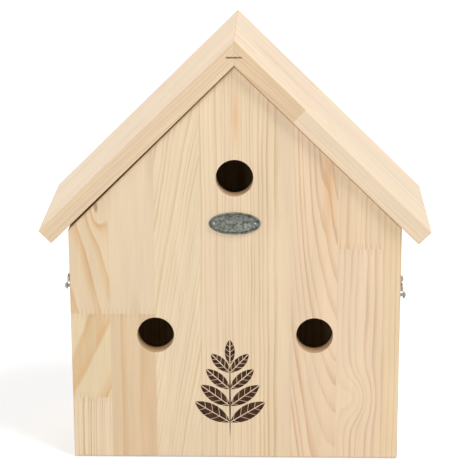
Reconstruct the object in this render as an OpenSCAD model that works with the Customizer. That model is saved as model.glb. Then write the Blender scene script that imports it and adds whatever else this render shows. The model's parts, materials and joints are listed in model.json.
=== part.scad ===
// Sparrow nest box: a gabled pine box with three nest chambers, a mitred roof
// and a front that lifts off once its two side hooks are raised.
// Millimetres. X runs to the right, Y to the back and Z up.
// The origin is on the ground, below the middle of the roof.

/* [Body] */
// Width of the box over its side walls
body_w = 312; // [290:1:340]
// Height of the side walls at their outer faces
wall_h = 233.5; // [220:0.5:250]
// Thickness of the wall, floor and divider boards
wall_t = 15; // [13:0.5:18]

/* [Roof] */
// Slope of both roof boards in degrees
roof_pitch = 44.5; // [40:0.5:50]
// Length of a roof board along its outer face
roof_len = 257.5; // [245:0.5:280]
// Thickness of the roof boards
roof_t = 17; // [13:0.5:20]
// Depth of the roof from front to back
roof_depth = 164; // [150:1:190]
// Overhang of the roof in front of the front wall
front_overhang = 4.5; // [1.5:0.5:12]

/* [Chambers] */
// Height of the floor's underside over the ground
floor_lift = 6; // [3:0.5:12]
// Clear height of the two lower chambers
chamber_h = 139.5; // [130:0.5:150]
// Diameter of the entrance holes
hole_d = 35; // [28:1:40]
// Height of an entrance hole's centre over its own chamber floor
hole_rise = 105; // [95:0.5:110]
// Distance between the centres of the two lower entrance holes
lower_hole_spacing = 151; // [130:0.2:170]

/* [Front wall] */
// Gap between the front wall and the left roof board at the side wall
front_gap_left = 2.4; // [0.4:0.1:3]
// Gap between the front wall and the right roof board at the side wall
front_gap_right = 0.9; // [0.4:0.1:3]
// Gap between the front wall and the roof boards at the ridge
front_gap_ridge = 0.8; // [0.4:0.1:2]
// Gap between the front wall and the boards behind it
front_seat_gap = 0.4; // [0.3:0.1:0.9]
// Gap under the front wall
front_ground_gap = 1; // [0.5:0.1:2]

/* [Locating pegs] */
// Diameter of the two dowels that locate the front wall
peg_d = 8; // [6:0.5:10]
// Length of a dowel inside the floor board
peg_seat_len = 16; // [10:1:25]
// Length of a dowel in front of the floor board
peg_reach = 8; // [5:0.5:10]
// Distance from a dowel to the side wall beside it
peg_inset = 41; // [20:1:60]
// Gap around and in front of a dowel inside the front wall
peg_clearance = 0.4; // [0.3:0.1:0.8]

/* [Oval plate] */
// Width of the zinc plate on the front wall
plate_w = 48.5; // [36:0.5:60]
// Height of the zinc plate
plate_h = 21.5; // [15:0.5:28]
// Thickness of the zinc plate at its raised rim
plate_t = 1.2; // [0.8:0.1:1.5]
// Width of the raised rim
plate_rim = 1.3; // [0.8:0.1:2]
// Depth of the plate's field below its rim
plate_sink = 0.5; // [0.2:0.1:0.6]
// Height of the plate's centre over the ground
plate_z = 237; // [225:1:245]

/* [Latches] */
// Height of the left catch screw over the ground
latch_z_left = 173; // [150:1:180]
// Height of the right catch screw over the ground
latch_z_right = 165; // [150:1:180]
// Distance from a hook's pivot to its catch screw
hook_reach = 38; // [30:1:45]
// Diameter of the hook wire
hook_wire_d = 2.2; // [1.8:0.1:2.6]
// Length of a hook's tip below its bend
hook_tip = 1.6; // [1:0.1:2.5]
// Angle in degrees by which a stored hook stands above its latched place
hook_lift = 10; // [9:0.5:14]
// Gap between a hook's loop and its pivot screw
hook_clearance = 0.3; // [0.2:0.05:0.5]
// Gap between a hook's bend and its catch screw
catch_clearance = 0.8; // [0.5:0.1:1.2]
// Gap between a hook's wire and the board or the screw head beside it
hook_play = 0.4; // [0.3:0.1:0.6]

/* [Screws] */
// Diameter of the screws' shanks
screw_d = 3; // [2.5:0.1:3.5]
// Length of a screw inside the wood
screw_grip = 11; // [8:0.5:12]
// Diameter of the screws' round heads
screw_head_d = 7; // [6:0.1:8]
// Height of the screws' round heads
screw_head_h = 2.6; // [2:0.1:3]
// Width of the slot in a screw head
screw_slot_w = 1; // [0.6:0.1:1.4]
// Depth of the slot in a screw head
screw_slot_depth = 1; // [0.6:0.1:1.4]
// Gap between a fastener and the wood around it
fastener_fit = 0.05; // [0.03:0.01:0.1]

/* [Ridge staples] */
// Width of the staples across the ridge joint
staple_w = 14.5; // [10:0.5:18]
// Thickness of the staple wire along the ridge
staple_wire_y = 1; // [0.8:0.1:1.4]
// Thickness of the staple wire in the board's face
staple_wire_z = 1.5; // [1:0.1:2]
// Depth of the staples' legs
staple_leg = 10; // [6:0.5:12]
// Height of the staples over the underside of the ridge
staple_rise = 8; // [6:0.5:10]

/* [Hanging holes] */
// Diameter of the holes in the back wall
hang_hole_d = 6; // [4:0.5:8]
// Distance between the holes in the back wall
hang_hole_spacing = 120; // [80:1:140]
// Height of the holes in the back wall over the ground
hang_hole_z = 280; // [260:1:300]

/* [Hidden] */

$fn = 96;
left = -1;
right = 1;
// Cutters run this far past the faces that they cut
cut_past = 1;

half_w = body_w / 2;
inner_half_w = half_w - wall_t;
slope = tan(roof_pitch);
// Underside and top of the ridge
apex_z = wall_h + half_w * slope;
ridge_z = apex_z + roof_t / cos(roof_pitch);
// Upper corner of a roof board's eave
eave_x = roof_len * cos(roof_pitch);
eave_z = ridge_z - roof_len * sin(roof_pitch);

// Planes across the depth, from front to back
roof_front_y = -roof_depth / 2;
front_y = roof_front_y + front_overhang;
front_back_y = front_y + wall_t;
seat_y = front_back_y + front_seat_gap;
back_y = roof_depth / 2;
back_seat_y = back_y - wall_t;

// Levels of the chambers
floor_top = floor_lift + wall_t;
upper_floor_z = floor_top + chamber_h;
upper_floor_top = upper_floor_z + wall_t;
lower_hole_z = floor_top + hole_rise;
upper_hole_z = upper_floor_top + hole_rise;
hole_centres = [
    [-lower_hole_spacing / 2, lower_hole_z],
    [lower_hole_spacing / 2, lower_hole_z],
    [0, upper_hole_z]
];

// The front wall's upper corners stay below the roof boards by their own gaps
front_left_z = wall_h - front_gap_left / cos(roof_pitch);
front_right_z = wall_h - front_gap_right / cos(roof_pitch);
front_apex_z = apex_z - front_gap_ridge / cos(roof_pitch);

peg_x = inner_half_w - peg_inset;
peg_z = floor_lift + wall_t / 2;

// Radii of a hook's loop and of its bend, measured to the middle of the wire
hook_loop_r = screw_d / 2 + hook_clearance + hook_wire_d / 2;
hook_bend_r = screw_d / 2 + catch_clearance + hook_wire_d / 2;
hook_x = half_w + hook_play + hook_wire_d / 2;
screw_seat = hook_wire_d + 2 * hook_play;
catch_y = (front_y + front_back_y) / 2;
pivot_y = catch_y + hook_reach;

function latch_z(side) = side == left ? latch_z_left : latch_z_right;
function pivot_z(side) = latch_z(side) + hook_bend_r;

// Extrudes an outline, drawn in X and Z, from one depth to another
module between(y_from, y_to) {
    translate([0, y_to, 0])
        rotate([90, 0, 0])
            linear_extrude(y_to - y_from)
                children();
}

// A round bar along Y
module bar_y(x, z, d, y_from, y_to) {
    translate([x, y_from, z])
        rotate([-90, 0, 0])
            cylinder(d = d, h = y_to - y_from);
}

// The hole that a screw's shank takes in a side face of the box
module screw_hole(side, y, z) {
    translate([side * (half_w - screw_grip - fastener_fit), y, z])
        rotate([0, side * 90, 0])
            cylinder(d = screw_d + 2 * fastener_fit, h = screw_grip + fastener_fit + cut_past);
}

// A round-head wood screw, driven into a side face with room for a hook under its head
module round_head_screw(side, y, z) {
    dome_r = (pow(screw_head_d / 2, 2) + pow(screw_head_h, 2)) / (2 * screw_head_h);
    translate([side * half_w, y, z])
        rotate([0, side * 90, 0]) {
            translate([0, 0, -screw_grip])
                cylinder(d = screw_d, h = screw_grip + screw_seat);
            translate([0, 0, screw_seat])
                difference() {
                    intersection() {
                        translate([0, 0, screw_head_h - dome_r])
                            sphere(r = dome_r);
                        cylinder(d = screw_head_d, h = screw_head_h);
                    }
                    translate([-screw_head_d, -screw_slot_w / 2, screw_head_h - screw_slot_depth])
                        cube([2 * screw_head_d, screw_slot_w, screw_slot_depth + cut_past]);
                }
        }
}

// A flat-wire staple that lies flush in the roof's end, its legs pointing along into the boards
module ridge_staple(y_face, into, grow) {
    width = staple_w + 2 * grow;
    wire_z = staple_wire_z + 2 * grow;
    wire_y = staple_wire_y + grow;
    leg_len = staple_leg + grow;
    translate([0, y_face, apex_z + staple_rise])
        facing(into) {
            translate([-width / 2, 0, -wire_z / 2])
                cube([width, wire_y, wire_z]);
            for (x = [-width / 2, width / 2 - staple_wire_y - 2 * grow])
                translate([x, 0, -wire_z / 2])
                    cube([staple_wire_y + 2 * grow, leg_len, wire_z]);
        }
}

// Turns a shape to face along +Y or, mirrored, along -Y
module facing(into) {
    if (into > 0)
        children();
    else
        mirror([0, 1, 0])
            children();
}

// One roof board, mitred at the ridge and cut square at the eave
module roof_board(side) {
    difference() {
        between(roof_front_y, back_y)
            polygon([
                [0, apex_z],
                [0, ridge_z],
                [side * eave_x, eave_z],
                [side * (eave_x - roof_t * sin(roof_pitch)), eave_z - roof_t * cos(roof_pitch)]
            ]);
        ridge_staple(roof_front_y, 1, fastener_fit);
        ridge_staple(back_y, -1, fastener_fit);
    }
}

// One side wall, its top bevelled to the roof and its face drilled for the hook's screw
module side_wall(side) {
    difference() {
        between(seat_y, back_seat_y)
            polygon([
                [side * inner_half_w, 0],
                [side * half_w, 0],
                [side * half_w, wall_h],
                [side * inner_half_w, wall_h + wall_t * slope]
            ]);
        screw_hole(side, pivot_y, pivot_z(side));
    }
}

// A level board between the side walls
module level_board(z) {
    translate([-inner_half_w, seat_y, z])
        cube([2 * inner_half_w, back_seat_y - seat_y, wall_t]);
}

// A dowel, part in the floor board and part in the front wall
module peg(side) {
    bar_y(side * peg_x, peg_z, peg_d, seat_y - peg_reach, seat_y + peg_seat_len);
}

// A wire hook, bent to a loop round its pivot screw and to a quarter turn over its catch screw
module hook(side) {
    translate([side * hook_x, pivot_y, pivot_z(side)])
        rotate([-hook_lift, 0, 0]) {
            rotate([0, 90, 0])
                rotate_extrude()
                    translate([hook_loop_r, 0])
                        circle(d = hook_wire_d);
            bar_y(0, 0, hook_wire_d, -hook_reach, -hook_loop_r);
            translate([0, -hook_reach, -hook_bend_r])
                rotate([90, 0, -90])
                    rotate_extrude(angle = 90)
                        translate([hook_bend_r, 0])
                            circle(d = hook_wire_d);
            translate([0, -hook_reach - hook_bend_r, -hook_bend_r - hook_tip]) {
                cylinder(d = hook_wire_d, h = hook_tip);
                sphere(d = hook_wire_d);
            }
        }
}

// An oval outline
module oval(width, height) {
    scale([width / height, 1])
        circle(d = height, $fn = 64);
}

module back_wall() {
    color("#E4CDA6")
        difference() {
            between(back_seat_y, back_y)
                polygon([
                    [-half_w, 0],
                    [half_w, 0],
                    [half_w, wall_h],
                    [0, apex_z],
                    [-half_w, wall_h]
                ]);
            for (side = [left, right])
                bar_y(side * hang_hole_spacing / 2, hang_hole_z, hang_hole_d,
                      back_seat_y - cut_past, back_y + cut_past);
        }
}

module side_wall_left() {
    color("#E2CAA2")
        side_wall(left);
}

module side_wall_right() {
    color("#E2CAA2")
        side_wall(right);
}

module floor_board() {
    color("#DFC69C")
        difference() {
            level_board(floor_lift);
            for (side = [left, right])
                bar_y(side * peg_x, peg_z, peg_d + 2 * fastener_fit,
                      seat_y - cut_past, seat_y + peg_seat_len + fastener_fit);
        }
}

module upper_floor() {
    color("#DFC69C")
        level_board(upper_floor_z);
}

module divider() {
    color("#DFC69C")
        translate([-wall_t / 2, seat_y, floor_top])
            cube([wall_t, back_seat_y - seat_y, chamber_h]);
}

module roof_left() {
    color("#F0DDC0")
        roof_board(left);
}

module roof_right() {
    color("#F0DDC0")
        roof_board(right);
}

module ridge_staple_front() {
    color("#A9A49A")
        ridge_staple(roof_front_y, 1, 0);
}

module ridge_staple_back() {
    color("#A9A49A")
        ridge_staple(back_y, -1, 0);
}

module peg_left() {
    color("#D9BE92")
        peg(left);
}

module peg_right() {
    color("#D9BE92")
        peg(right);
}

module front_wall() {
    color("#E8D3B0")
        difference() {
            between(front_y, front_back_y)
                polygon([
                    [-half_w, front_ground_gap],
                    [half_w, front_ground_gap],
                    [half_w, front_right_z],
                    [0, front_apex_z],
                    [-half_w, front_left_z]
                ]);
            for (centre = hole_centres)
                bar_y(centre.x, centre.y, hole_d, front_y - cut_past, front_back_y + cut_past);
            for (side = [left, right]) {
                bar_y(side * peg_x, peg_z, peg_d + 2 * peg_clearance,
                      seat_y - peg_reach - peg_clearance, front_back_y + cut_past);
                screw_hole(side, catch_y, latch_z(side));
            }
        }
}

module oval_plate() {
    color("#7F8278")
        difference() {
            translate([0, 0, plate_z])
                between(front_y - plate_t, front_y)
                    oval(plate_w, plate_h);
            translate([0, 0, plate_z])
                between(front_y - plate_t - cut_past, front_y - plate_t + plate_sink)
                    oval(plate_w - 2 * plate_rim, plate_h - 2 * plate_rim);
        }
}

module catch_screw_left() {
    color("#B9B2A0")
        round_head_screw(left, catch_y, latch_z(left));
}

module catch_screw_right() {
    color("#B9B2A0")
        round_head_screw(right, catch_y, latch_z(right));
}

module hook_screw_left() {
    color("#B9B2A0")
        round_head_screw(left, pivot_y, pivot_z(left));
}

module hook_screw_right() {
    color("#B9B2A0")
        round_head_screw(right, pivot_y, pivot_z(right));
}

module hook_left() {
    color("#B9B2A0")
        hook(left);
}

module hook_right() {
    color("#B9B2A0")
        hook(right);
}

back_wall();
side_wall_left();
side_wall_right();
floor_board();
upper_floor();
divider();
roof_left();
roof_right();
ridge_staple_front();
ridge_staple_back();
peg_left();
peg_right();
front_wall();
oval_plate();
catch_screw_left();
catch_screw_right();
hook_screw_left();
hook_screw_right();
hook_left();
hook_right();
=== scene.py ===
import json
import math
import random
from collections import namedtuple

import bpy
from mathutils import Matrix, Vector


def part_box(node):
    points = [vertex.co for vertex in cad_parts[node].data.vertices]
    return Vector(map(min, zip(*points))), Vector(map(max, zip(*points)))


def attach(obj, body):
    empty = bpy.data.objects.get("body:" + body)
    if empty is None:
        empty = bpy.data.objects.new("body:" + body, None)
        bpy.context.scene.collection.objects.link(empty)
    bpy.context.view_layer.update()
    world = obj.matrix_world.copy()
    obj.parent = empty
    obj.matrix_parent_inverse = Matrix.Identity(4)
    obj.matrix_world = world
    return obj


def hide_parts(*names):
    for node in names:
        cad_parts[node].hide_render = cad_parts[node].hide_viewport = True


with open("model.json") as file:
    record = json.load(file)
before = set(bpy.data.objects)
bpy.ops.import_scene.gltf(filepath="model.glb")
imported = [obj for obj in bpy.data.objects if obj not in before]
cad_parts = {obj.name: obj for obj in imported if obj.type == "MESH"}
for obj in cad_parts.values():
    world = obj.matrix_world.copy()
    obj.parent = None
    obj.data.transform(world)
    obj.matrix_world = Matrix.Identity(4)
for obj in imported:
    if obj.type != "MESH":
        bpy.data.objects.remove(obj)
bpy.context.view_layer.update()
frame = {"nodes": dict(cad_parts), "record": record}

# Floor, upper floor and divider
# Boards of edge-glued pine between the side walls, which part the box into its three chambers.
# Narrow staves are glued side by side, and short lengths are finger-jointed end to end.
mm = 0.001
X, Y, Z = Vector((1, 0, 0)), Vector((0, 1, 0)), Vector((0, 0, 1))
eased_edge = 0.8 * mm
stave_width = 43
endless = 9999
first_length, next_length = (90, 380), (180, 420)
heart_offsets = (-60, -21, -21, 20)
heart_depths = (12, 55)
ring_widths = (3.2, 6.5)
resin, knot_core, joint_line, cut_end = "#DEA86F", "#B48E68", "#CBA27A", "#B98E60"
finger_pitch = 4.2
finger_reach = 5

# A stave's blocks lie end to end, in millimetres on the board: across its grain, into it and along it.
# edge, top: where a stave ends across the board, and where a block ends along it
# pith: where the tree's heart lay across and into the board, and the width of a year's ring
# lean: how far the heart drifts across and into the board for each millimetre along it
# early, late: the colours of a ring's spring and autumn wood
# knot: its place across and along, its reach, the rings that it bends, its dark core and its streak
Knot = namedtuple("Knot", "across along reach_across reach_along bend core streak", defaults=(0, 0))
no_knot = Knot(across=0, along=0, reach_across=1, reach_along=1, bend=0)
Block = namedtuple("Block", "top pith lean early late knot", defaults=(no_knot,))
Stave = namedtuple("Stave", "edge blocks")


def linear(hex_colour):
    """An sRGB hex colour as linear red, green, blue and alpha."""
    parts = [int(hex_colour[i:i + 2], 16) / 255 for i in (1, 3, 5)]
    return (*[c / 12.92 if c < 0.04045 else ((c + 0.055) / 1.055) ** 2.4 for c in parts], 1)


def add(tree, kind, inputs=(), **settings):
    """Adds a node with its settings, sets or links its live inputs, and gives its first live output."""
    node = tree.nodes.new(kind)
    for name, value in settings.items():
        setattr(node, name, value)
    live = [socket for socket in node.inputs if socket.enabled]
    for key, value in dict(inputs).items():
        socket = live[key] if isinstance(key, int) else next(s for s in live if s.name == key)
        if isinstance(value, bpy.types.NodeSocket):
            tree.links.new(value, socket)
        else:
            socket.default_value = value
    return next(socket for socket in node.outputs if socket.enabled)


def per_cell(across, along):
    """The scale of a pattern from its cells' size in millimetres, across and along the grain."""
    return 1 / across, 1 / across, 1 / along


def edge_glued_pine(name, along, across, corner):
    """Planed, untreated pine: cream early wood, tan late wood in yearly lines, and a dull sheen.
    The rings are cut out of a trunk, as in a real board, so that edges and end grain follow."""
    material = bpy.data.materials.new(name)
    material.use_nodes = True
    tree = material.node_tree
    turn = Matrix((across, along.cross(across), along))
    board = add(tree, "ShaderNodeMapping", {
        "Vector": add(tree, "ShaderNodeTexCoord").node.outputs["Object"],
        "Location": -(turn @ corner) / mm,
        "Rotation": turn.to_euler(),
        "Scale": (1 / mm, 1 / mm, 1 / mm),
    })
    u = add(tree, "ShaderNodeSeparateXYZ", {0: board})
    v = u.node.outputs["Z"]
    early = add(tree, "ShaderNodeAttribute", attribute_name="early")
    late = add(tree, "ShaderNodeAttribute", attribute_name="late")
    pith, lean, ends, knot, reach = [
        add(tree, "ShaderNodeAttribute", attribute_name=note).node.outputs["Vector"]
        for note in ("pith", "lean", "ends", "knot", "reach")
    ]

    # The trunk wanders slowly, by up to 4.5 mm each way
    slow = add(tree, "ShaderNodeVectorMath", {0: board, 1: per_cell(across=38, along=210), 2: pith},
               operation="MULTIPLY_ADD")
    wander = add(tree, "ShaderNodeTexNoise", {"Vector": slow, "Scale": 1, "Detail": 5, "Roughness": 0.45})
    wander = add(tree, "ShaderNodeVectorMath", {0: wander.node.outputs["Color"], 1: (0.5, 0.5, 0.5)},
                 operation="SUBTRACT")
    wander = add(tree, "ShaderNodeVectorMath", {0: wander, "Scale": 9}, operation="SCALE")
    drift = add(tree, "ShaderNodeVectorMath", {0: lean, "Scale": v}, operation="SCALE")
    heart = add(tree, "ShaderNodeVectorMath", {0: pith, 1: drift}, operation="ADD")
    gap = add(tree, "ShaderNodeVectorMath", {0: board, 1: heart}, operation="SUBTRACT")
    gap = add(tree, "ShaderNodeVectorMath", {0: gap, 1: wander}, operation="ADD")
    gap = add(tree, "ShaderNodeVectorMath", {0: gap, 1: (1, 1, 0)}, operation="MULTIPLY")
    radius = add(tree, "ShaderNodeVectorMath", {0: gap}, operation="LENGTH")
    ring_width = add(tree, "ShaderNodeSeparateXYZ", {0: pith}).node.outputs["Z"]
    rings = add(tree, "ShaderNodeMath", {0: radius, 1: ring_width}, operation="DIVIDE")

    # A knot bends the rings that pass it
    off = add(tree, "ShaderNodeVectorMath", {0: board, 1: knot}, operation="SUBTRACT")
    off = add(tree, "ShaderNodeVectorMath", {0: off, 1: reach}, operation="MULTIPLY")
    off = add(tree, "ShaderNodeVectorMath", {0: off, 1: (1, 0, 1)}, operation="MULTIPLY")
    away = add(tree, "ShaderNodeVectorMath", {0: off}, operation="LENGTH")
    near = add(tree, "ShaderNodeMath", {0: away, 1: away}, operation="MULTIPLY")
    near = add(tree, "ShaderNodeMath", {0: near, 1: -1.0}, operation="MULTIPLY")
    near = add(tree, "ShaderNodeMath", {0: near}, operation="EXPONENT")
    bend = add(tree, "ShaderNodeSeparateXYZ", {0: lean}).node.outputs["Z"]
    rings = add(tree, "ShaderNodeMath", {0: near, 1: bend, 2: rings}, operation="MULTIPLY_ADD")

    # Good and bad years: the rings' widths change slowly, and each year's line has its own strength
    growth = add(tree, "ShaderNodeMath", {0: rings, 1: 0.4}, operation="MULTIPLY")
    growth = add(tree, "ShaderNodeTexNoise", {"W": growth, "Scale": 1, "Detail": 1}, noise_dimensions="1D")
    rings = add(tree, "ShaderNodeMath", {0: growth, 1: 2.2, 2: rings}, operation="MULTIPLY_ADD")
    year = add(tree, "ShaderNodeMath", {0: rings}, operation="FLOOR")
    vigour = add(tree, "ShaderNodeTexWhiteNoise", {"W": year}, noise_dimensions="1D")
    vigour = add(tree, "ShaderNodeMapRange", {"Value": vigour, "To Min": 0.4, "To Max": 1.4})

    # A year's ring runs from pale early wood to a darker line of late wood
    line = add(tree, "ShaderNodeMath", {0: rings}, operation="FRACT")
    line = add(tree, "ShaderNodeValToRGB", {0: line})
    ramp = line.node.color_ramp
    ramp.interpolation = "EASE"
    ramp.elements[0].color = ramp.elements[1].color = (0, 0, 0, 1)
    for position, level in ((0.5, 0.1), (0.75, 0.6), (0.9, 1.0)):
        ramp.elements.new(position).color = (level, level, level, 1)
    line = add(tree, "ShaderNodeMath", {0: line, 1: vigour}, operation="MULTIPLY")
    patches = add(tree, "ShaderNodeVectorMath", {0: board, 1: per_cell(across=24, along=130), 2: pith},
                  operation="MULTIPLY_ADD")
    patches = add(tree, "ShaderNodeTexNoise", {"Vector": patches, "Scale": 1, "Detail": 2})
    strength = add(tree, "ShaderNodeMapRange", {
        "Value": patches, "From Min": 0.35, "From Max": 0.65, "To Min": 0.45, "To Max": 1.15})
    line = add(tree, "ShaderNodeMath", {0: line, 1: strength}, operation="MULTIPLY")
    wood = add(tree, "ShaderNodeMix", {"Factor": line, "A": early, "B": late}, data_type="RGBA")

    # Resin streaks and the dark cores of knots
    streak = add(tree, "ShaderNodeSeparateXYZ", {0: reach}).node.outputs["Y"]
    streak = add(tree, "ShaderNodeMath", {0: near, 1: streak}, operation="MULTIPLY")
    wood = add(tree, "ShaderNodeMix", {"Factor": streak, "A": wood, "B": linear(resin)}, data_type="RGBA")
    core = add(tree, "ShaderNodeMapRange", {
        "Value": away, "From Min": 0.12, "From Max": 0.3, "To Min": 1.0, "To Max": 0.0})
    core_depth = add(tree, "ShaderNodeSeparateXYZ", {0: knot}).node.outputs["Y"]
    core = add(tree, "ShaderNodeMath", {0: core, 1: core_depth}, operation="MULTIPLY")
    wood = add(tree, "ShaderNodeMix", {"Factor": core, "A": wood, "B": linear(knot_core)}, data_type="RGBA")

    # Finger joints show as a comb of fine lines that reach to both sides of the joint
    low_end = add(tree, "ShaderNodeSeparateXYZ", {0: ends})
    high_end = low_end.node.outputs["Y"]
    end_grain = low_end.node.outputs["Z"]
    above = add(tree, "ShaderNodeMath", {0: v, 1: low_end}, operation="SUBTRACT")
    below = add(tree, "ShaderNodeMath", {0: high_end, 1: v}, operation="SUBTRACT")
    to_joint = add(tree, "ShaderNodeMath", {0: above, 1: below}, operation="MINIMUM")
    half_pitch = finger_pitch / 2
    finger = add(tree, "ShaderNodeMath", {0: u, 1: half_pitch}, operation="PINGPONG")
    finger = add(tree, "ShaderNodeMapRange", {
        "Value": finger, "From Min": half_pitch - 0.7, "From Max": half_pitch - 0.2})
    comb = add(tree, "ShaderNodeMapRange", {
        "Value": to_joint, "From Min": finger_reach - 0.5, "From Max": finger_reach + 0.5,
        "To Min": 0.3, "To Max": 0.0})
    finger = add(tree, "ShaderNodeMath", {0: finger, 1: comb}, operation="MULTIPLY")
    wood = add(tree, "ShaderNodeMix", {"Factor": finger, "A": wood, "B": linear(joint_line)},
               data_type="RGBA")

    # Fine fibres and slow drifts of tone
    fibre = add(tree, "ShaderNodeVectorMath", {0: board, 1: per_cell(across=0.9, along=45)},
                operation="MULTIPLY")
    fibre = add(tree, "ShaderNodeTexNoise", {"Vector": fibre, "Scale": 1, "Detail": 3})
    fibre_tone = add(tree, "ShaderNodeMapRange", {
        "Value": fibre, "From Min": 0.3, "From Max": 0.7, "To Min": 0.96, "To Max": 1.04})
    tone = add(tree, "ShaderNodeVectorMath", {0: board, 1: per_cell(across=16, along=160), 2: pith},
               operation="MULTIPLY_ADD")
    tone = add(tree, "ShaderNodeTexNoise", {"Vector": tone, "Scale": 1, "Detail": 1})
    tone = add(tree, "ShaderNodeMapRange", {
        "Value": tone, "From Min": 0.3, "From Max": 0.7, "To Min": 0.955, "To Max": 1.045})
    tone = add(tree, "ShaderNodeMath", {0: tone, 1: fibre_tone}, operation="MULTIPLY")
    wood = add(tree, "ShaderNodeVectorMath", {0: wood, "Scale": tone}, operation="SCALE")

    # Cut ends soak up light and look darker and warmer
    shade = add(tree, "ShaderNodeMath", {0: end_grain, 1: 0.7}, operation="MULTIPLY")
    wood = add(tree, "ShaderNodeMix", {"Factor": shade, "A": wood, "B": linear(cut_end)}, data_type="RGBA")

    relief = add(tree, "ShaderNodeMath", {0: line, 1: fibre}, operation="ADD")
    shader = tree.nodes["Principled BSDF"]
    tree.links.new(wood, shader.inputs["Base Color"])
    tree.links.new(add(tree, "ShaderNodeMapRange", {
        "Value": fibre, "From Min": 0.3, "From Max": 0.7, "To Min": 0.5, "To Max": 0.66}),
        shader.inputs["Roughness"])
    tree.links.new(add(tree, "ShaderNodeBump", {"Height": relief, "Strength": 0.35, "Distance": 0.05 * mm}),
                   shader.inputs["Normal"])
    return material


def cut_board(name, low, high):
    """A board at its sawn size, between two corners."""
    bpy.ops.object.select_all(action="DESELECT")
    bpy.ops.mesh.primitive_cube_add(size=1, location=(low + high) / 2, scale=high - low)
    board = bpy.context.object
    board.name = name
    bpy.ops.object.transform_apply()
    return board


def bevel(piece, width, segments, smooth_deg, over_deg=30):
    """Bevels the edges that turn by more than one angle, and shades those under another smooth."""
    edges = piece.modifiers.new("edges", "BEVEL")
    edges.width = width
    edges.segments = segments
    edges.limit_method = "ANGLE"
    edges.angle_limit = math.radians(over_deg)
    bpy.ops.object.modifier_apply(modifier=edges.name)
    bpy.ops.object.shade_smooth_by_angle(angle=math.radians(smooth_deg))


def ease(board, width=eased_edge):
    """Sands a board's sharp edges round, and leaves those that are round already."""
    bevel(board, width, segments=3, smooth_deg=12, over_deg=40)


def mill_staves(seed, width, length, tones):
    """Staves of mixed cuts across a board's width, as a mill glues them up."""
    draw = random.Random(seed)
    staves = []
    edge = draw.uniform(0.3, 1) * stave_width
    while not staves or staves[-1].edge < width:
        blocks = []
        top = draw.uniform(*first_length)
        while not blocks or blocks[-1].top < length:
            early, late = draw.choice(tones)
            pith = (edge + draw.choice(heart_offsets), draw.uniform(*heart_depths),
                    draw.uniform(*ring_widths))
            lean = (draw.uniform(-0.05, 0.05), draw.uniform(-0.06, 0.06))
            blocks.append(Block(top if top < length else endless, pith, lean, early, late))
            top += draw.uniform(*next_length)
        staves.append(Stave(edge, blocks))
        edge += stave_width
    return staves


def glue_up(board, along, across, corner, staves):
    """Parts a board's faces at its glue lines and finger joints, and notes each block's wood on them."""
    mesh = board.data
    turn = Matrix((across, along.cross(across), along))
    for stave in staves[:-1]:
        bpy.ops.object.mode_set(mode="EDIT")
        bpy.ops.mesh.select_mode(type="FACE")
        bpy.ops.mesh.select_all(action="SELECT")
        bpy.ops.mesh.bisect(plane_co=corner + across * stave.edge * mm, plane_no=across)
        bpy.ops.object.mode_set(mode="OBJECT")
    left = -endless
    for stave in staves:
        for block in stave.blocks[:-1]:
            bpy.ops.object.mode_set(mode="EDIT")
            bpy.ops.mesh.select_all(action="DESELECT")
            bpy.ops.object.mode_set(mode="OBJECT")
            for face in mesh.polygons:
                face.select = left < (turn @ (face.center - corner)).x / mm < stave.edge
            bpy.ops.object.mode_set(mode="EDIT")
            bpy.ops.mesh.bisect(plane_co=corner + along * block.top * mm, plane_no=along)
            bpy.ops.object.mode_set(mode="OBJECT")
        left = stave.edge
    for note in ("pith", "lean", "ends", "knot", "reach"):
        mesh.attributes.new(note, "FLOAT_VECTOR", "FACE")
    for note in ("early", "late"):
        mesh.attributes.new(note, "FLOAT_COLOR", "FACE")
    notes = mesh.attributes
    for face in mesh.polygons:
        spot = turn @ (face.center - corner) / mm
        stave = next((s for s in staves if spot.x < s.edge), staves[-1])
        joints = [block.top for block in stave.blocks[:-1]]
        below = sum(spot.z > joint for joint in joints)
        block = stave.blocks[below]
        bottom = joints[below - 1] if below else -endless
        knot = block.knot
        notes["pith"].data[face.index].vector = block.pith
        notes["lean"].data[face.index].vector = (*block.lean, knot.bend)
        notes["ends"].data[face.index].vector = (bottom, block.top, abs(face.normal.dot(along)))
        notes["knot"].data[face.index].vector = (knot.across, knot.core, knot.along)
        notes["reach"].data[face.index].vector = (1 / knot.reach_across, knot.streak, 1 / knot.reach_along)
        notes["early"].data[face.index].color = linear(block.early)
        notes["late"].data[face.index].color = linear(block.late)
    mesh.materials.append(edge_glued_pine("pine_" + board.name, along, across, corner))


box_tones = (("#E9D1AD", "#D9BC92"), ("#E5CBA6", "#D4B388"), ("#EACFAC", "#DBB68F"), ("#E3C7A0", "#D2AE82"))
for node, along, across, seed in (
    ("floor_board", X, Y, 3), ("upper_floor", X, Y, 8), ("divider", Z, Y, 14),
):
    low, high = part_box(node)
    board = cut_board(node + "_pine", low, high)
    ease(board)
    size = (high - low) / mm
    glue_up(board, along, across, low, mill_staves(seed, size.dot(across), size.dot(along), box_tones))
    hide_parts(node)
    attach(board, "box")

# Side walls
# Upright pine boards between the front and the back, their tops sawn to the slope of the roof.
# They are nailed to the floors and to the back wall, and stand on the ground.


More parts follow.
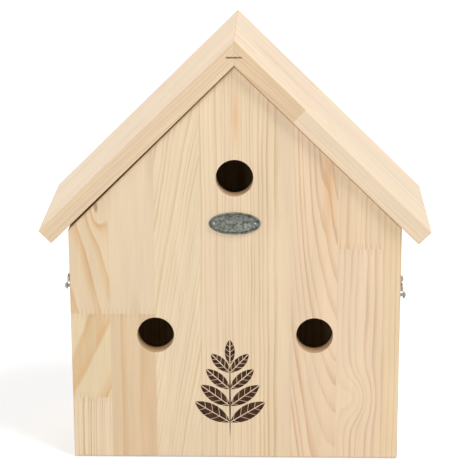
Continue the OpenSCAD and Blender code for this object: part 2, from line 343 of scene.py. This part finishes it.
def dull_steel(name, bright, dark, roughness, blotch_mm):
    """Steel or zinc with a thin dull skin: metal, with blotches a few millimetres wide."""
    material = bpy.data.materials.new(name)
    material.use_nodes = True
    tree = material.node_tree
    place = add(tree, "ShaderNodeTexCoord").node.outputs["Object"]
    blotch = add(tree, "ShaderNodeTexNoise", {"Vector": place, "Scale": 1 / (blotch_mm * mm), "Detail": 4})
    level = add(tree, "ShaderNodeMapRange", {"Value": blotch, "From Min": 0.35, "From Max": 0.65})
    shader = tree.nodes["Principled BSDF"]
    shader.inputs["Metallic"].default_value = 1.0
    tree.links.new(add(tree, "ShaderNodeMix", {"Factor": level, "A": linear(dark), "B": linear(bright)},
                       data_type="RGBA"), shader.inputs["Base Color"])
    tree.links.new(add(tree, "ShaderNodeMapRange", {
        "Value": blotch, "From Min": 0.3, "From Max": 0.7,
        "To Min": roughness + 0.08, "To Max": roughness - 0.08}), shader.inputs["Roughness"])
    tree.links.new(add(tree, "ShaderNodeBump", {"Height": blotch, "Strength": 0.3, "Distance": 0.1 * mm}),
                   shader.inputs["Normal"])
    return material


def saw(board, point, normal):
    """Saws a board along a plane and drops what lies on the normal's side."""
    bpy.ops.object.mode_set(mode="EDIT")
    bpy.ops.mesh.select_all(action="SELECT")
    bpy.ops.mesh.bisect(plane_co=point, plane_no=normal, use_fill=True, clear_outer=True)
    bpy.ops.object.mode_set(mode="OBJECT")


def top_corner(node, x):
    """The highest corner of a node at a place across the box."""
    corners = [v.co for v in frame["nodes"][node].data.vertices if abs(v.co.x - x) < same_place]
    return max(corners, key=lambda corner: corner.z).copy()


def saw_slope(board, start, end):
    """Saws a board from one of its top corners to another and drops what lies above."""
    run = end - start
    saw(board, start, Vector((-run.z, 0, run.x)) * math.copysign(1, run.x))


def rods(spots, axis, radius, length, sides):
    """One piece with a round rod at each spot."""
    bpy.ops.object.select_all(action="DESELECT")
    turn = Z.rotation_difference(axis).to_euler()
    for spot in spots:
        bpy.ops.mesh.primitive_cylinder_add(
            vertices=sides, radius=radius, depth=length, location=spot, rotation=turn)
        if bpy.context.mode == "OBJECT":
            bpy.ops.object.transform_apply()
            bpy.ops.object.mode_set(mode="EDIT")
    bpy.ops.object.mode_set(mode="OBJECT")
    return bpy.context.object


def cut_away(board, cutter):
    """Takes a cutter's shape out of a board, and the cutter away."""
    cut = board.modifiers.new("cut", "BOOLEAN")
    cut.object = cutter
    bpy.context.view_layer.objects.active = board
    bpy.ops.object.modifier_apply(modifier=cut.name)
    bpy.data.objects.remove(cutter)
    board.select_set(True)


def drill(board, spots, axis, radius, length, sides=96):
    """Drills a round hole at each spot."""
    cut_away(board, rods(spots, axis, radius, length, sides))


def spot_in(node, across=0.5, deep=0.5, high=0.5):
    """A spot in a node's box, by its shares of the width, the depth and the height."""
    shares = (across, deep, high)
    return Vector([start + share * (end - start) for start, end, share in zip(*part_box(node), shares)])


def nail(board, spots, outward):
    """Sets brads into a wall at some spots, each in a small dimple."""
    drill(board, spots, outward, brad_radius + brad_room, 2 * brad_set, brad_sides)
    centres = [spot - outward * (brad_set + brad_dome) for spot in spots]
    heads = rods(centres, outward, brad_radius, brad_radius, brad_sides)
    heads.name = board.name.replace("pine", "brads")
    bevel(heads, brad_dome, segments=2, smooth_deg=50)
    heads.data.materials.append(brad_steel)
    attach(heads, "box")
    heads.select_set(False)
    board.select_set(True)
    bpy.context.view_layer.objects.active = board


same_place = 0.01 * mm
brad_radius = 1 * mm
brad_room = 0.1 * mm
brad_set = 0.5 * mm
brad_dome = brad_radius / 4
brad_sides = 24
brad_steel = dull_steel("brad_steel", "#9A968C", "#6B665C", 0.4, 2)
for node, side, seed in (("side_wall_left", -1, 21), ("side_wall_right", 1, 34)):
    low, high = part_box(node)
    board = cut_board(node + "_pine", low, high)
    saw_slope(board, top_corner(node, low.x), top_corner(node, high.x))
    ease(board)
    face_x = high.x if side > 0 else low.x
    spots = []
    for shelf in ("floor_board", "upper_floor"):
        for share in (0.3, 0.6, 0.9):
            spot = spot_in(shelf, deep=share)
            spot.x = face_x
            spots.append(spot)
    nail(board, spots, side * X)
    size = (high - low) / mm
    glue_up(board, Z, Y, low, mill_staves(seed, size.y, size.z, box_tones))
    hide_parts(node)
    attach(board, "box")

# Back wall
# A gabled panel of edge-glued pine that closes the box behind, nailed to the side walls and floors.
# Two holes high up take the screws that it hangs from.


def saw_gable(board, node):
    """Saws both slopes of a gabled panel."""
    low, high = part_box(node)
    peak = max((v.co for v in frame["nodes"][node].data.vertices), key=lambda corner: corner.z).copy()
    saw_slope(board, top_corner(node, low.x), peak)
    saw_slope(board, peak, top_corner(node, high.x))


past = 1 * mm
low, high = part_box("back_wall")
board = cut_board("back_wall_pine", low, high)
saw_gable(board, "back_wall")
hanging = next(m for m in frame["record"]["mounts"] if m["name"] == "hanging_holes")
hole_x = hanging["dims"]["spacing_x_mm"] / 2 * mm
spots = [Vector((side * hole_x, high.y, hanging["pos_m"][2])) for side in (-1, 1)]
drill(board, spots, Y, hanging["dims"]["hole_r_mm"] * mm, 2 * (high.y - low.y) + past)
ease(board)
spots = [spot_in(wall, high=share)
         for wall in ("side_wall_left", "side_wall_right") for share in (0.15, 0.5, 0.85)]
spots += [spot_in(shelf, across=share)
          for shelf in ("floor_board", "upper_floor") for share in (0.25, 0.75)]
for spot in spots:
    spot.y = high.y
nail(board, spots, Y)
size = (high - low) / mm
glue_up(board, Z, X, low, mill_staves(55, size.x, size.z, box_tones))
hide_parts("back_wall")
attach(board, "box")

# Roof boards
# Two thicker pine boards, mitred at the ridge and cut square at the eaves, with the grain downhill.
# They are glued to the walls, and a staple holds the mitre together at each end.
roof_tones = (("#EDD8BB", "#E4CBA8"), ("#EAD5BA", "#E0C6A7"), ("#EED6BA", "#E5C7A8"))
# The cut left a thin stave at the front edge, which on the right starts with a darker block at the ridge
edge_stave = 3
edge_blocks = {
    "roof_left": [Block(endless, (-30, 40, 3), (0.01, 0), "#E8CEAC", "#DCBC96")],
    "roof_right": [
        Block(92, (-30, -40, 3), (0.02, 0), "#E5C8A4", "#D6B68D"),
        Block(endless, (-25, -35, 3.5), (0, 0), "#EFD8BA", "#E6C9A6"),
    ],
}
staple_fit = 0.05 * mm
mitre_edge = 0.2 * mm
for node, side, seed in (("roof_left", -1, 60), ("roof_right", 1, 72)):
    low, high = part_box(node)
    corners = [v.co for v in frame["nodes"][node].data.vertices]
    ridge = max(corners, key=lambda corner: corner.z)
    under = min((c for c in corners if abs(c.x) < same_place), key=lambda corner: corner.z)
    eave = max(corners, key=lambda corner: side * corner.x)
    downhill = Vector((eave.x - ridge.x, 0, eave.z - ridge.z))
    length = downhill.length
    downhill.normalize()
    pitch = math.asin(-downhill.z)
    thickness = (ridge.z - under.z) * math.cos(pitch)
    outward = Vector((side * math.sin(pitch), 0, math.cos(pitch)))
    top = Vector((0, low.y, ridge.z))
    middle = top + downhill * length / 2 - outward * thickness / 2 + Y * (high.y - low.y) / 2
    bpy.ops.object.select_all(action="DESELECT")
    bpy.ops.mesh.primitive_cube_add(size=1, location=middle, rotation=(0, side * pitch, 0),
                                    scale=(length, high.y - low.y, thickness))
    board = bpy.context.object
    board.name = node + "_pine"
    bpy.ops.object.transform_apply()
    # The mitre is sawn after the sanding, so that the joint shows as a hairline
    ease(board)
    saw(board, top, -side * X)
    ease(board, mitre_edge)
    for staple, past_front, past_back in (("ridge_staple_front", past, 0), ("ridge_staple_back", 0, past)):
        slot_low, slot_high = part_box(staple)
        room = Vector((1, 1, 1)) * staple_fit
        cut_away(board, cut_board("slot_cutter", slot_low - room - Y * past_front,
                                  slot_high + room + Y * past_back))
    staves = mill_staves(seed, (high.y - low.y) / mm, length / mm, roof_tones)
    glue_up(board, downhill, Y, top, [Stave(edge_stave, edge_blocks[node]), *staves])
    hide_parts(node)
    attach(board, "box")

# Ridge staples
# Flat-wire steel staples, driven flush across the mitre at both ends of the roof.
# The bare wire has dulled to a brownish grey.


def finish_metal(nodes, material):
    """Gives the part's own metal pieces their finish."""
    for node in nodes:
        finishes = frame["nodes"][node].data.materials
        finishes.clear()
        finishes.append(material)


finish_metal(("ridge_staple_front", "ridge_staple_back"),
             dull_steel("dulled_staple_wire", "#8A7F68", "#5A4E3A", 0.5, 1.5))

# Locating pegs
# Two beech dowels, glued into the front edge of the floor, that hold the front wall in its place.
# They are turned, with chamfered ends, and show when the front is off.
peg_chamfer = 0.9 * mm
beech = bpy.data.materials.new("turned_beech")
beech.use_nodes = True
tree = beech.node_tree
# Beech has short dark flecks, about 0.6 mm wide and 4 mm long
fleck = add(tree, "ShaderNodeMapping", {
    "Vector": add(tree, "ShaderNodeTexCoord").node.outputs["Object"],
    "Scale": (1 / (0.6 * mm), 1 / (4 * mm), 1 / (0.6 * mm))})
fleck = add(tree, "ShaderNodeTexNoise", {"Vector": fleck, "Scale": 1, "Detail": 2})
fleck_level = add(tree, "ShaderNodeMapRange", {"Value": fleck, "From Min": 0.45, "From Max": 0.7})
shader = tree.nodes["Principled BSDF"]
shader.inputs["Roughness"].default_value = 0.5
tree.links.new(add(tree, "ShaderNodeMix", {
    "Factor": fleck_level, "A": linear("#D9B88D"), "B": linear("#B98F63")}, data_type="RGBA"),
    shader.inputs["Base Color"])
tree.links.new(add(tree, "ShaderNodeBump", {"Height": fleck, "Strength": 0.2, "Distance": 0.1 * mm}),
               shader.inputs["Normal"])
for node in ("peg_left", "peg_right"):
    low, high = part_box(node)
    bpy.ops.object.select_all(action="DESELECT")
    bpy.ops.mesh.primitive_cylinder_add(
        vertices=48, radius=(high.x - low.x) / 2, depth=high.y - low.y,
        location=(low + high) / 2, rotation=(math.pi / 2, 0, 0))
    peg = bpy.context.object
    peg.name = node + "_dowel"
    bpy.ops.object.transform_apply()
    bevel(peg, peg_chamfer, segments=1, smooth_deg=30)
    peg.data.materials.append(beech)
    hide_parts(node)
    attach(peg, "box")

# Front wall
# One gabled panel of edge-glued pine over the whole front, with three round entrances drilled through.
# It sits on the two pegs, and the hooks at its edges hold it shut.
entrance_radius = 17.5 * mm
drilled_edge = 0.25 * mm
peg_room = 0.4 * mm
low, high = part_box("front_wall")
board = cut_board("front_wall_pine", low, high)
saw_gable(board, "front_wall")
ease(board)
spots = []
for opening in frame["record"]["physics"]["openings"]:
    if opening["name"].startswith("entrance"):
        near_corner, far_corner = opening["box_m"]
        spots.append((Vector(near_corner) + Vector(far_corner)) / 2)
drill(board, spots, Y, entrance_radius, 2 * (high.y - low.y))
spots = [spot_in(node) for node in ("peg_left", "peg_right")]
for spot in spots:
    spot.y = high.y
peg_low, peg_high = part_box("peg_right")
drill(board, spots, Y, (peg_high.x - peg_low.x) / 2 + peg_room, 2 * (high.y - peg_low.y + peg_room))
ease(board, drilled_edge)
# The staves from left to right, each with its blocks from the ground up
front_staves = [
    Stave(-118.5, [
        Block(62, (-190, 12, 3.4), (0.015, 0), "#EFD8B6", "#CBA37A"),
        Block(147, (-193, 25, 17), (0.45, 0), "#E8D2AC", "#DEB989"),
        Block(endless, (-185, 30, 17), (-0.26, 0), "#E7CFAC", "#DBB280",
              Knot(-129.5, 252, 8, 22, 1.2, 0.9)),
    ]),
    Stave(-75.5, [
        Block(147, (-70, 60, 9), (0, 0), "#E4C8A4", "#DAB88E"),
        Block(endless, (-97, 45, 6), (0.01, 0.02), "#E8D1B0", "#DEC49D"),
    ]),
    Stave(-32.5, [Block(endless, (-140, 25, 3.7), (0.17, 0), "#EDD7B5", "#DCC198")]),
    Stave(10.5, [
        Block(endless, (-70, 15, 4.2), (0, 0), "#EED6B5", "#DABD94", Knot(1, 338, 4, 26, 0.5, 0, 0.5)),
    ]),
    Stave(53.5, [Block(endless, (47, 14, 3.6), (0, 0), "#EED5B4", "#D6B689")]),
    Stave(96.5, [
        Block(endless, (101, 55, 4.6), (0, -0.13), "#F0D5B4", "#DCB68F", Knot(88, 272, 5, 45, 0.6, 0, 0.5)),
    ]),
    Stave(139.5, [
        Block(212, (160, 30, 6), (0, 0), "#F1D7B6", "#E0BB97", Knot(115, 63, 15, 22, 2.5)),
        Block(endless, (165, 25, 5), (0, 0), "#F0D5B2", "#E2BE94"),
    ]),
    Stave(endless, [Block(endless, (200, 20, 5), (0, 0), "#F0D6AF", "#E0BC8F")]),
]
glue_up(board, Z, X, Vector((0, low.y, 0)), front_staves)
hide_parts("front_wall")
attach(board, "front")

# Burnt sprig
# A leafy sprig, scorched into the low middle of the front with a hot iron.
# Each leaf is two half-blades beside a bare midrib, cut across by bare side veins.
sprig_x = -5 * mm
sprig_foot = 20 * mm
stem_length = 80 * mm
stem_bulge = 0.8 * mm
scorch_height = 0.12 * mm
midrib = 0.9 * mm
side_vein = 0.6 * mm
vein_angle = math.radians(40)
face_y = low.y
# Side veins part each half-blade into strips, and the first vein meets the midrib a little before the foot
strips = 5
before_foot = 0.12
# A leaf's turn from the stem, its foot on the stem, its length and its bulge: four pairs and one at the tip
leaves = [(side * (58 - 5 * pair), (17 + 17 * pair) * mm, (40 - 4.5 * pair) * mm, (7.4 - 0.7 * pair) * mm)
          for pair in range(4) for side in (-1, 1)]
leaves.append((0, 76 * mm, 26 * mm, 4.8 * mm))


def lay_round(length, bulge, side, sides):
    """A round that crosses the midrib at a leaf's foot and tip, and bulges to one side of it."""
    radius = (length ** 2 / 4 + bulge ** 2) / (2 * bulge)
    bpy.ops.mesh.primitive_circle_add(vertices=sides, radius=radius, fill_type="NGON",
                                      location=(side * (bulge - radius), length / 2, 0))


def burn_strip(length, bulge, side, start, end):
    """A strip of half a leaf, between two side veins: part of a round, cut at the midrib and the veins."""
    out_and_up = Vector((-side * math.sin(vein_angle), math.cos(vein_angle), 0))
    lay_round(length, bulge, side, sides=160)
    for point, normal in (
        (Vector((side * midrib / 2, 0, 0)), -side * X),
        (Vector((0, start, 0)), -out_and_up),
        (Vector((0, end, 0)), out_and_up),
    ):
        bpy.ops.mesh.select_all(action="SELECT")
        bpy.ops.mesh.bisect(plane_co=point, plane_no=normal, clear_outer=True)
    bpy.ops.mesh.select_all(action="SELECT")


bpy.ops.object.select_all(action="DESELECT")
bpy.ops.mesh.primitive_plane_add(size=mm)
sprig = bpy.context.object
sprig.name = "burnt_sprig"
bpy.ops.object.mode_set(mode="EDIT")
bpy.ops.mesh.select_mode(type="VERT")
bpy.ops.mesh.delete(type="VERT")
for turn_deg, foot, length, bulge in leaves:
    for side in (-1, 1):
        for strip in range(strips):
            start = length * (strip / strips - before_foot) + side_vein
            end = length * ((strip + 1) / strips - before_foot) if strip < strips - 1 else length
            burn_strip(length, bulge, side, start, end)
            bpy.ops.transform.rotate(value=math.radians(turn_deg), orient_axis="Z",
                                     center_override=(0, 0, 0))
            bpy.ops.transform.translate(value=(0, foot, 0))
            bpy.ops.mesh.hide(unselected=False)
# The stem is a long thin lens
for side in (-1, 1):
    lay_round(stem_length, stem_bulge, side, sides=2000)
    bpy.ops.mesh.bisect(plane_co=(0, 0, 0), plane_no=-side * X, clear_outer=True)
    bpy.ops.mesh.select_all(action="SELECT")
    bpy.ops.mesh.hide(unselected=False)
bpy.ops.mesh.reveal()
bpy.ops.mesh.select_all(action="SELECT")
bpy.ops.mesh.extrude_region_move(TRANSFORM_OT_translate={"value": (0, 0, scorch_height)})
bpy.ops.mesh.select_all(action="SELECT")
bpy.ops.mesh.normals_make_consistent(inside=False)
bpy.ops.object.mode_set(mode="OBJECT")
sprig.rotation_euler = (math.pi / 2, 0, 0)
sprig.location = (sprig_x, face_y + scorch_height / 4, sprig_foot)
bpy.ops.object.transform_apply()
scorch = bpy.data.materials.new("scorched_pine")
scorch.use_nodes = True
tree = scorch.node_tree
# The burn is uneven over about 6 mm, from dark to reddish brown
burn = add(tree, "ShaderNodeTexNoise", {
    "Vector": add(tree, "ShaderNodeTexCoord").node.outputs["Object"], "Scale": 1 / (6 * mm), "Detail": 3})
burn_level = add(tree, "ShaderNodeMapRange", {"Value": burn, "From Min": 0.35, "From Max": 0.68})
shader = tree.nodes["Principled BSDF"]
shader.inputs["Roughness"].default_value = 0.8
shader.inputs["Specular IOR Level"].default_value = 0.2
tree.links.new(add(tree, "ShaderNodeMix", {
    "Factor": burn_level, "A": linear("#2E1A10"), "B": linear("#5C3D2B")}, data_type="RGBA"),
    shader.inputs["Base Color"])
sprig.data.materials.append(scorch)
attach(sprig, "front")

# Oval plate
# A small bare plate of stamped zinc with a raised rim, fixed to the front with two pins.
# The zinc has gone dull and mottled.
rim_width = 1.3 * mm
field_depth = 0.5 * mm
bead_gap = 1.0 * mm
bead_width = 0.5 * mm
bead_height = 0.2 * mm
plate_edge = 0.15 * mm
front_facing = -0.9
pin_inset = 5 * mm
pin_radius = 1.1 * mm
pin_dome = 0.44 * mm
low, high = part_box("oval_plate")
size = high - low
bpy.ops.object.select_all(action="DESELECT")
bpy.ops.mesh.primitive_cylinder_add(vertices=96, radius=0.5, depth=1, location=(0, 0, 0),
                                    rotation=(math.pi / 2, 0, 0))
plate = bpy.context.object
plate.name = "zinc_plate"
bpy.ops.object.transform_apply()
plate.scale = (size.x, size.y, size.z)
plate.location = (low + high) / 2
bpy.ops.object.transform_apply()
bpy.ops.object.mode_set(mode="EDIT")
bpy.ops.mesh.select_mode(type="FACE")
bpy.ops.mesh.select_all(action="DESELECT")
bpy.ops.object.mode_set(mode="OBJECT")
for face in plate.data.polygons:
    face.select = face.normal.y < front_facing
bpy.ops.object.mode_set(mode="EDIT")
bpy.ops.mesh.inset(thickness=rim_width)
bpy.ops.mesh.extrude_region_move(TRANSFORM_OT_translate={"value": (0, field_depth, 0)})
bpy.ops.mesh.inset(thickness=bead_gap)
bpy.ops.object.mode_set(mode="OBJECT")
groove = [face.index for face in plate.data.polygons if not face.select
          and face.normal.y < front_facing and face.center.y > low.y + field_depth / 2]
bpy.ops.object.mode_set(mode="EDIT")
bpy.ops.mesh.extrude_region_move(TRANSFORM_OT_translate={"value": (0, -bead_height, 0)})
bpy.ops.mesh.inset(thickness=bead_width)
bpy.ops.mesh.extrude_region_move(TRANSFORM_OT_translate={"value": (0, bead_height, 0)})
bpy.ops.object.mode_set(mode="OBJECT")
# The faces in the groove between the rim and the bead take the second, darker zinc
for index in groove:
    plate.data.polygons[index].material_index = 1
bevel(plate, plate_edge, segments=2, smooth_deg=30)
plate.data.materials.append(dull_steel("mottled_zinc", "#868880", "#4D4F49", 0.45, 3))
plate.data.materials.append(dull_steel("groove_darker_zinc", "#65665F", "#3F403A", 0.6, 3))
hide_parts("oval_plate")
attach(plate, "front")
spots = [Vector((x, low.y + field_depth, (low.z + high.z) / 2))
         for x in (low.x + pin_inset, high.x - pin_inset)]
pins = rods(spots, Y, pin_radius, pin_radius, sides=32)
pins.name = "plate_pins"
bevel(pins, pin_dome, segments=4, smooth_deg=50)
pins.data.materials.append(dull_steel("pin_steel", "#B9BCBA", "#8C9090", 0.35, 2))
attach(pins, "front")

# Hooks and screws
# Wire hooks on round-head screws at both flanks, which drop over a screw in each edge of the front.
# All are steel with a bright zinc coat that has begun to dull.
finish_metal(("hook_left", "hook_right", "hook_screw_left", "hook_screw_right",
              "catch_screw_left", "catch_screw_right"),
             dull_steel("zinc_plated_steel", "#B5B1A2", "#837D6C", 0.38, 4))

# Stage, light and camera
# A plain pale floor in a white room, with soft lamps high on the right, on the left and over the backdrop.
# The camera stands a little right of the middle and looks down on the box.
floor_width = 24
floor_drop = 0.05 * mm
room_light = 0.3


def share_seen(tree):
    """1 on what the eye meets, also in metal or through glass, and 0 where light only bounces."""
    path = add(tree, "ShaderNodeLightPath")
    seen = path
    for ray in ("Is Glossy Ray", "Is Transmission Ray"):
        seen = add(tree, "ShaderNodeMath", {0: seen, 1: path.node.outputs[ray]}, operation="MAXIMUM")
    return seen


bpy.ops.object.select_all(action="DESELECT")
bpy.ops.mesh.primitive_plane_add(size=floor_width, location=-Z * floor_drop)
floor = bpy.context.object
floor.name = "studio_floor"
pale = bpy.data.materials.new("pale_studio_floor")
pale.use_nodes = True
tree = pale.node_tree
# The lift grows from 0.5 m to 3 m away, where the lamps grow weak, so that the floor stays white
away = add(tree, "ShaderNodeVectorMath", {0: add(tree, "ShaderNodeTexCoord").node.outputs["Object"]},
           operation="LENGTH")
lift = add(tree, "ShaderNodeMapRange", {
    "Value": away, "From Min": 0.5, "From Max": 3.0, "To Min": 0.5, "To Max": 0.85})
lift = add(tree, "ShaderNodeMath", {0: share_seen(tree), 1: lift}, operation="MULTIPLY")
shader = tree.nodes["Principled BSDF"]
shader.inputs["Base Color"].default_value = linear("#C9C9C9")
shader.inputs["Roughness"].default_value = 0.9
shader.inputs["Specular IOR Level"].default_value = 0.0
shader.inputs["Emission Color"].default_value = (1, 1, 1, 1)
tree.links.new(lift, shader.inputs["Emission Strength"])
floor.data.materials.append(pale)

world = bpy.data.worlds.new("white_room")
bpy.context.scene.world = world
world.use_nodes = True
tree = world.node_tree
level = add(tree, "ShaderNodeMapRange", {
    "Value": share_seen(tree), "To Min": room_light, "To Max": 1.0})
room = tree.nodes["Background"]
room.inputs["Color"].default_value = (1, 1, 1, 1)
tree.links.new(level, room.inputs["Strength"])

for name, place, aim, width, power in (
    ("key_softbox", Vector((1.5, -1.1, 3.5)), Vector((0, 0, 0.2)), 1.2, 92),
    ("fill_softbox", Vector((-1.4, -3.0, 1.5)), Vector((0, 0, 0.2)), 2.0, 48),
    ("backdrop_softbox", Vector((-0.8, 2.2, 3.2)), Vector((-0.8, 2.2001, 0)), 2.4, 60),
):
    bpy.ops.object.light_add(type="AREA", location=place)
    lamp = bpy.context.object
    lamp.name = name
    lamp.data.size = width
    lamp.data.energy = power
    lamp.rotation_euler = (aim - place).to_track_quat("-Z", "Y").to_euler()

camera_place = Vector((43.83, -1723.9, 724.8)) * mm
look_down = math.radians(16.86)
look_right = math.radians(-1.513)
roll = math.radians(-0.209)
focal_length = 141.04
film_width = 36
forward = Vector((math.sin(look_right) * math.cos(look_down),
                  math.cos(look_right) * math.cos(look_down), -math.sin(look_down)))
level_right = Vector((math.cos(look_right), -math.sin(look_right), 0))
level_up = level_right.cross(forward)
right = math.cos(roll) * level_right + math.sin(roll) * level_up
up = math.cos(roll) * level_up - math.sin(roll) * level_right
bpy.ops.object.camera_add()
camera = bpy.context.object
camera.data.lens = focal_length
camera.data.sensor_width = film_width
camera.matrix_world = Matrix.Translation(camera_place) @ Matrix((right, up, -forward)).transposed().to_4x4()
bpy.context.scene.camera = camera
bpy.context.scene.view_settings.view_transform = "Standard"
